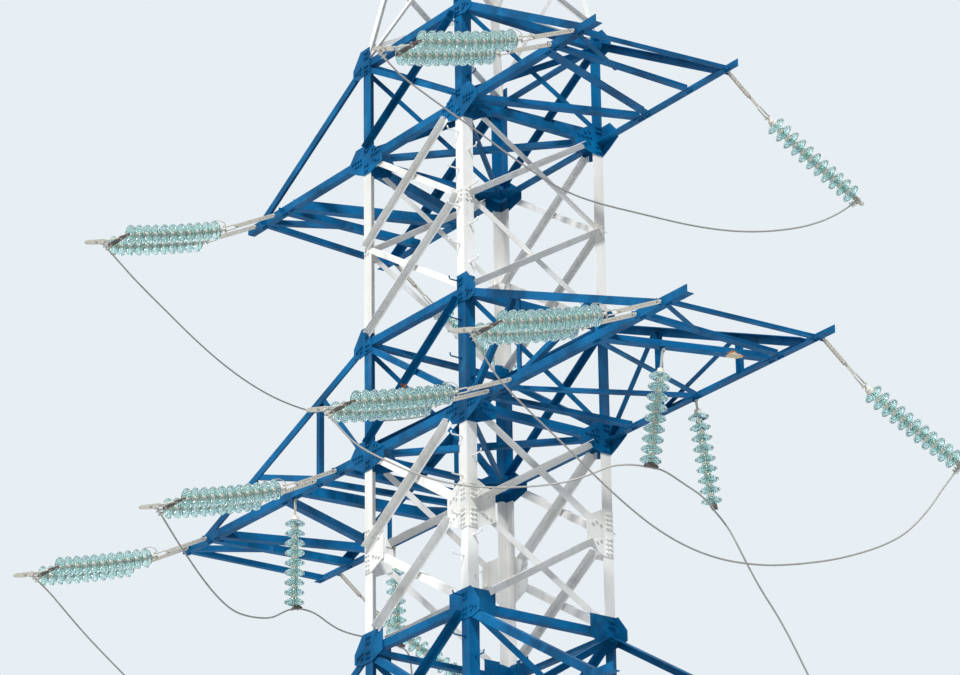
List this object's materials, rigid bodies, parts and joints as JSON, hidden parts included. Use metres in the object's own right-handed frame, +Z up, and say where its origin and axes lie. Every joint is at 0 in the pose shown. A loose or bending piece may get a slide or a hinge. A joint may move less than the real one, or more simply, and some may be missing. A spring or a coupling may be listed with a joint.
{
  "type": "lattice transmission pylon",
  "caption": "Square lattice steel pylon for two overhead circuits, with levels of crossarms, an earth-wire peak, glass insulator strings and jumper loops",
  "frame": {"origin": "on the ground in the middle between the four feet", "axes": "X along the crossarms, Y along the line, Z up"},
  "size_m": [10.66, 7.0723, 29.7],
  "materials": {
    "blue_paint": "semi-gloss enamel, weathered",
    "white_paint": "semi-gloss enamel, weathered",
    "white_and_blue_paint": "white enamel with blue bands at the crossarms",
    "galvanised_steel": "dull galvanised",
    "insulator_glass": "toughened glass with metal caps",
    "bare_conductor": "stranded, dull"
  },
  "bodies": {
    "root": {"back_strings_lower": "insulator_glass", "back_strings_middle": "insulator_glass", "back_strings_upper": "insulator_glass", "base_plates": "galvanised_steel", "earth_wire_peak": "white_paint", "foot_bracing_back": "white_paint", "foot_bracing_front": "white_paint", "foot_bracing_left": "white_paint", "foot_bracing_right": "white_paint", "front_strings_inner_left": "insulator_glass", "front_strings_inner_right": "insulator_glass", "front_strings_outer_left": "insulator_glass", "front_strings_outer_right": "insulator_glass", "front_strings_upper_left": "insulator_glass", "front_strings_upper_right": "insulator_glass", "jumper_inner_left": "bare_conductor", "jumper_inner_right": "bare_conductor", "jumper_outer_left": "bare_conductor", "jumper_outer_right": "bare_conductor", "jumper_upper_left": "bare_conductor", "jumper_upper_right": "bare_conductor", "leg_splice_plates": "white_paint", "lower_arm_joint_plates": "blue_paint", "lower_crossarm_left": "blue_paint", "lower_crossarm_right": "blue_paint", "lower_leg_back_left": "white_paint", "lower_leg_back_right": "white_paint", "lower_leg_front_left": "white_paint", "lower_leg_front_right": "white_paint", "middle_arm_joint_plates": "blue_paint", "middle_crossarm_left": "blue_paint", "middle_crossarm_right": "blue_paint", "plan_bracing": "blue_paint", "shaft_bracing_back": "white_and_blue_paint", "shaft_bracing_front": "white_and_blue_paint", "shaft_bracing_left": "white_and_blue_paint", "shaft_bracing_right": "white_and_blue_paint", "support_strings": "insulator_glass", "upper_arm_joint_plates": "blue_paint", "upper_crossarm_left": "blue_paint", "upper_crossarm_right": "blue_paint", "upper_leg_back_left": "white_and_blue_paint", "upper_leg_back_right": "white_and_blue_paint", "upper_leg_front_left": "white_and_blue_paint", "upper_leg_front_right": "white_and_blue_paint"}
  },
  "joints": []
}
